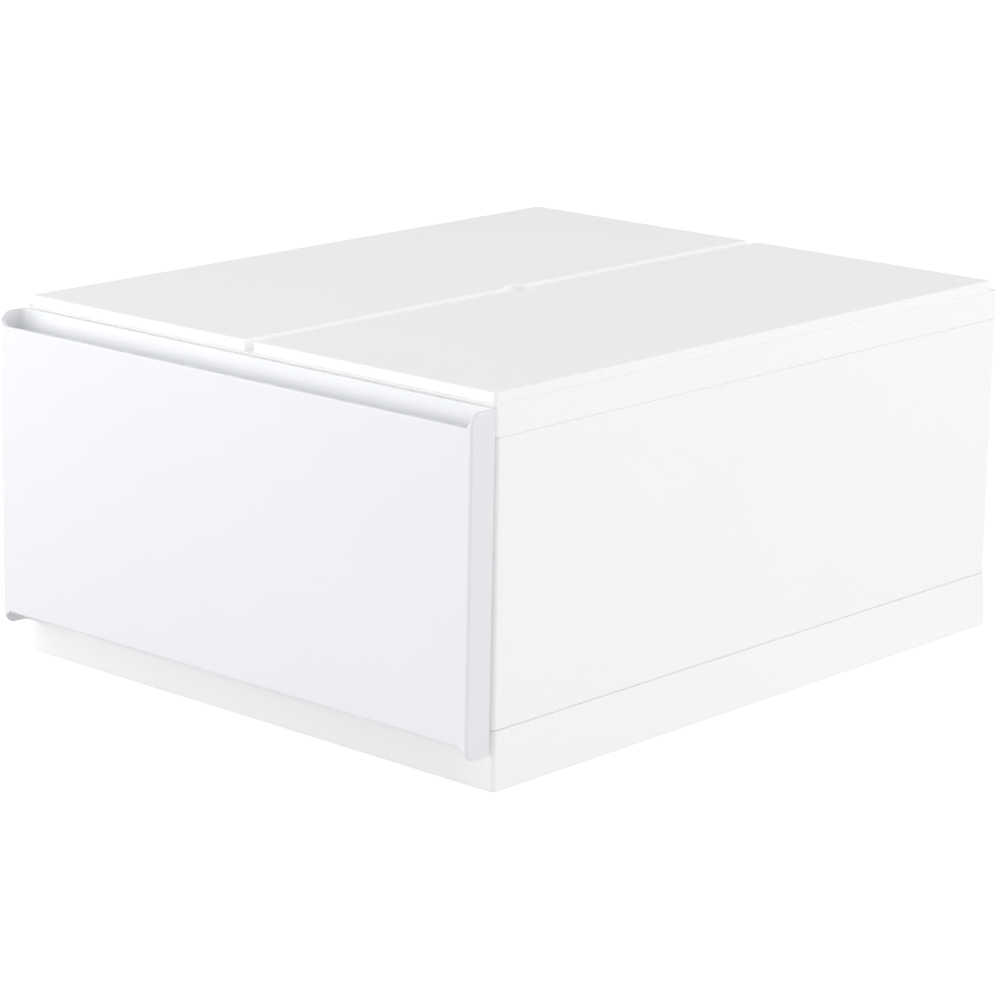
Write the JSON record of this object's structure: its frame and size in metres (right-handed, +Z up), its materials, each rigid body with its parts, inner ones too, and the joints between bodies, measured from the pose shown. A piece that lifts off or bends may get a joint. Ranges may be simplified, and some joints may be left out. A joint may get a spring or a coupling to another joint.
{
  "type": "stackable drawer box",
  "caption": "White moulded box with a pull-out drawer behind a deep finger-grip front; raised pads on top fit inside the hollow foot of the next box.",
  "frame": {"origin": "middle of the footprint of the closed box, on the surface that it stands on", "axes": "+X across the front, to the right when facing the drawer; +Y from the drawer front to the back; +Z up"},
  "size_m": [0.3574, 0.445, 0.205],
  "materials": {
    "body_white": "fine satin moulded polypropylene, warm white",
    "drawer_white": "smooth glossy polypropylene, cool milky white"
  },
  "bodies": {
    "housing": {"top_plate": "body_white", "left_side_panel": "body_white", "right_side_panel": "body_white", "back_panel": "body_white", "base": "body_white"},
    "drawer": {"drawer_tub": "drawer_white", "drawer_front": "drawer_white"}
  },
  "joints": [
    {"name": "drawer_slide", "type": "slide", "parent": "housing", "child": "drawer", "axis": [0, -1, 0], "range_m": [0, 0.33]}
  ]
}
